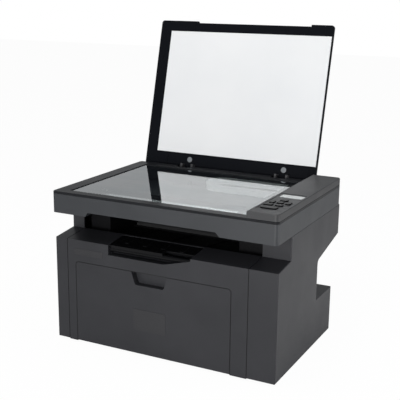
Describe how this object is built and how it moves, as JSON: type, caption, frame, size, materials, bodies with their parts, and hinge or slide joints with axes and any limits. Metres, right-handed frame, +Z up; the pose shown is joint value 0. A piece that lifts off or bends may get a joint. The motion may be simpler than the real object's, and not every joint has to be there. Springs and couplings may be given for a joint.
{
  "type": "multifunction printer",
  "caption": "Desktop laser printer with flatbed scanner: open lid with white pad, glass platen, button panel, output bay, front cover with tray flap.",
  "frame": {"origin": "on the floor, under the middle of the whole with its lid open", "axes": "+X to the machine's right seen from the front, +Y to the rear, +Z up"},
  "size_m": [0.38, 0.3654, 0.4991],
  "materials": {
    "body_plastic": "fine grained matte moulding",
    "trim_plastic": "satin black moulding",
    "button_plastic": "gloss black",
    "pad_white": "soft white sheet",
    "glass": "polished flat glass",
    "display_glass": "clear window over a grey screen",
    "rubber": "matt rubber",
    "steel": "pressed sheet and turned bar",
    "gear_plastic": "natural acetal",
    "drum_coating": "coated drum",
    "circuit_board": "green laminate",
    "inner_plastic": "black moulding",
    "cable_white": "flat white cable"
  },
  "bodies": {
    "root": {"base_pan": "body_plastic", "rubber_feet": "rubber", "left_side_cover": "body_plastic", "right_side_cover": "body_plastic", "side_frames": "steel", "main_motor": "steel", "toner_cartridge": "trim_plastic", "laser_unit": "inner_plastic", "output_tray": "body_plastic", "exit_housing": "body_plastic", "rear_panel": "body_plastic", "rear_sockets": "trim_plastic", "circuit_boards": "circuit_board", "case_screws": "steel", "scanner_base": "body_plastic", "hinge_beam": "body_plastic", "scanner_bezel": "trim_plastic", "platen_glass": "glass", "guide_rail": "steel", "scan_belt": "rubber", "scan_motor": "steel", "ribbon_cable": "cable_white", "control_panel": "body_plastic", "display": "display_glass"},
    "front_cover": {"front_cover": "body_plastic"},
    "tray_flap": {"tray_flap": "body_plastic", "blank_badge": "trim_plastic"},
    "paper_stop": {"paper_stop": "trim_plastic"},
    "rear_cover": {"rear_cover": "body_plastic"},
    "power_switch": {"power_switch": "trim_plastic"},
    "paper_lift_plate": {"paper_lift_plate": "steel"},
    "paper_guide_left": {"paper_guide_left": "trim_plastic"},
    "paper_guide_right": {"paper_guide_right": "trim_plastic"},
    "drive_gear": {"drive_gear": "gear_plastic"},
    "motor_pinion": {"motor_pinion": "gear_plastic"},
    "drum": {"drum": "drum_coating"},
    "transfer_roller": {"transfer_roller": "rubber"},
    "fuser_roller": {"fuser_roller": "drum_coating"},
    "pressure_roller": {"pressure_roller": "rubber"},
    "registration_roller": {"registration_roller": "rubber"},
    "pickup_roller": {"pickup_roller": "rubber"},
    "exit_idler_gear": {"exit_idler_gear": "gear_plastic"},
    "exit_roller": {"exit_roller": "rubber"},
    "exit_pinch_roller": {"exit_pinch_roller": "rubber"},
    "scan_carriage": {"scan_carriage": "inner_plastic"},
    "idler_pulley": {"idler_pulley": "gear_plastic"},
    "drive_pulley": {"drive_pulley": "gear_plastic"},
    "hinge_posts": {"hinge_posts": "trim_plastic"},
    "lid": {"lid_shell": "trim_plastic", "lid_frame": "trim_plastic", "lid_pad": "pad_white", "lid_hinge_arms": "trim_plastic"},
    "button_upper_wide": {"button_upper_wide": "button_plastic"},
    "button_lower_wide": {"button_lower_wide": "button_plastic"},
    "button_left": {"button_left": "button_plastic"},
    "button_up": {"button_up": "button_plastic"},
    "button_centre": {"button_centre": "button_plastic"},
    "button_right": {"button_right": "button_plastic"},
    "button_down": {"button_down": "button_plastic"}
  },
  "joints": [
    {"name": "drive_gear_spin", "type": "hinge", "parent": "root", "child": "drive_gear", "pos_m": [-0.02, -0.07069, 0.104], "axis": [1, 0, 0], "continuous": true},
    {"name": "motor_pinion_spin", "type": "hinge", "parent": "root", "child": "motor_pinion", "pos_m": [-0.02, -0.09069, 0.088], "axis": [1, 0, 0], "continuous": true},
    {"name": "drum_spin", "type": "hinge", "parent": "root", "child": "drum", "pos_m": [-0.02, -0.04519, 0.088], "axis": [1, 0, 0], "continuous": true},
    {"name": "fuser_roller_spin", "type": "hinge", "parent": "root", "child": "fuser_roller", "pos_m": [-0.02, -0.04469, 0.128], "axis": [1, 0, 0], "continuous": true},
    {"name": "transfer_roller_spin", "type": "hinge", "parent": "root", "child": "transfer_roller", "pos_m": [-0.02, -0.02469, 0.088], "axis": [1, 0, 0], "continuous": true},
    {"name": "registration_roller_spin", "type": "hinge", "parent": "root", "child": "registration_roller", "pos_m": [-0.02, -0.02269, 0.067], "axis": [1, 0, 0], "continuous": true},
    {"name": "pickup_roller_spin", "type": "hinge", "parent": "root", "child": "pickup_roller", "pos_m": [-0.02, -0.00269, 0.045], "axis": [1, 0, 0], "continuous": true},
    {"name": "pressure_roller_spin", "type": "hinge", "parent": "root", "child": "pressure_roller", "pos_m": [-0.02, -0.02369, 0.128], "axis": [1, 0, 0], "continuous": true},
    {"name": "exit_idler_gear_spin", "type": "hinge", "parent": "root", "child": "exit_idler_gear", "pos_m": [-0.02, -0.03269, 0.15], "axis": [1, 0, 0], "continuous": true},
    {"name": "exit_roller_spin", "type": "hinge", "parent": "root", "child": "exit_roller", "pos_m": [-0.02, -0.02269, 0.163], "axis": [1, 0, 0], "continuous": true},
    {"name": "exit_pinch_roller_spin", "type": "hinge", "parent": "root", "child": "exit_pinch_roller", "pos_m": [-0.02, -0.02269, 0.175], "axis": [1, 0, 0], "continuous": true},
    {"name": "front_cover_hinge", "type": "hinge", "parent": "root", "child": "front_cover", "pos_m": [-0.02, -0.16869, 0.0095], "axis": [1, 0, 0], "range_deg": [0, 78]},
    {"name": "tray_flap_hinge", "type": "hinge", "parent": "front_cover", "child": "tray_flap", "pos_m": [-0.02, -0.16869, 0.0095], "axis": [1, 0, 0], "range_deg": [0, 88]},
    {"name": "paper_stop_hinge", "type": "hinge", "parent": "front_cover", "child": "paper_stop", "pos_m": [-0.02, -0.16869, 0.166], "axis": [1, 0, 0], "range_deg": [0, 108]},
    {"name": "rear_cover_hinge", "type": "hinge", "parent": "root", "child": "rear_cover", "pos_m": [-0.02, -0.01209, 0.088], "axis": [-1, 0, 0], "range_deg": [0, 70]},
    {"name": "power_switch_rock", "type": "hinge", "parent": "root", "child": "power_switch", "pos_m": [0.1085, 0.06061, 0.037], "axis": [1, 0, 0], "range_deg": [0, 14]},
    {"name": "paper_lift", "type": "hinge", "parent": "root", "child": "paper_lift_plate", "pos_m": [-0.01, -0.13869, 0.0102], "axis": [1, 0, 0], "range_deg": [0, 6]},
    {"name": "paper_guide_left_slide", "type": "slide", "parent": "paper_lift_plate", "child": "paper_guide_left", "axis": [1, 0, 0], "range_m": [0, 0.05]},
    {"name": "paper_guide_right_slide", "type": "slide", "parent": "paper_lift_plate", "child": "paper_guide_right", "axis": [1, 0, 0], "range_m": [-0.05, 0]},
    {"name": "scan_travel", "type": "slide", "parent": "root", "child": "scan_carriage", "axis": [-1, 0, 0], "range_m": [0, 0.275], "deforming": ["ribbon_cable"]},
    {"name": "idler_pulley_spin", "type": "hinge", "parent": "root", "child": "idler_pulley", "pos_m": [-0.178, -0.05269, 0.2226], "axis": [0, 0, 1], "range_deg": [-2700, 2700]},
    {"name": "drive_pulley_spin", "type": "hinge", "parent": "root", "child": "drive_pulley", "pos_m": [0.162, -0.05269, 0.2226], "axis": [0, 0, 1], "range_deg": [-2700, 2700]},
    {"name": "lid_lift", "type": "slide", "parent": "root", "child": "hinge_posts", "axis": [0, 0, 1], "range_m": [0, 0.012]},
    {"name": "lid_hinge", "type": "hinge", "parent": "hinge_posts", "child": "lid", "pos_m": [-0.0084, 0.09051, 0.2394], "axis": [1, 0, 0], "range_deg": [0, 104]},
    {"name": "button_upper_wide_press", "type": "slide", "parent": "root", "child": "button_upper_wide", "axis": [0, 0, -1], "range_m": [0, 0.0009], "stiffness_N_per_m": 600},
    {"name": "button_lower_wide_press", "type": "slide", "parent": "root", "child": "button_lower_wide", "axis": [0, 0, -1], "range_m": [0, 0.0009], "stiffness_N_per_m": 600},
    {"name": "button_left_press", "type": "slide", "parent": "root", "child": "button_left", "axis": [0, 0, -1], "range_m": [0, 0.0009], "stiffness_N_per_m": 600},
    {"name": "button_up_press", "type": "slide", "parent": "root", "child": "button_up", "axis": [0, 0, -1], "range_m": [0, 0.0009], "stiffness_N_per_m": 600},
    {"name": "button_centre_press", "type": "slide", "parent": "root", "child": "button_centre", "axis": [0, 0, -1], "range_m": [0, 0.0009], "stiffness_N_per_m": 600},
    {"name": "button_right_press", "type": "slide", "parent": "root", "child": "button_right", "axis": [0, 0, -1], "range_m": [0, 0.0009], "stiffness_N_per_m": 600},
    {"name": "button_down_press", "type": "slide", "parent": "root", "child": "button_down", "axis": [0, 0, -1], "range_m": [0, 0.0009], "stiffness_N_per_m": 600}
  ],
  "couplings": [
    {"joint": "motor_pinion_spin", "follows": "drive_gear_spin", "ratio": -2.0208},
    {"joint": "drum_spin", "follows": "drive_gear_spin", "ratio": -1.3174},
    {"joint": "fuser_roller_spin", "follows": "drive_gear_spin", "ratio": -0.93491},
    {"joint": "transfer_roller_spin", "follows": "drive_gear_spin", "ratio": 2.2985},
    {"joint": "registration_roller_spin", "follows": "drive_gear_spin", "ratio": -1.2593},
    {"joint": "pickup_roller_spin", "follows": "drive_gear_spin", "ratio": 1.0603},
    {"joint": "pressure_roller_spin", "follows": "drive_gear_spin", "ratio": 0.89039},
    {"joint": "exit_idler_gear_spin", "follows": "drive_gear_spin", "ratio": 2.5463},
    {"joint": "exit_roller_spin", "follows": "drive_gear_spin", "ratio": -1.7848},
    {"joint": "exit_pinch_roller_spin", "follows": "drive_gear_spin", "ratio": 2.3202},
    {"joint": "paper_guide_right_slide", "follows": "paper_guide_left_slide", "ratio": -1},
    {"joint": "idler_pulley_spin", "follows": "scan_travel", "rad_per_m": -158.73},
    {"joint": "drive_pulley_spin", "follows": "scan_travel", "rad_per_m": -158.73}
  ]
}
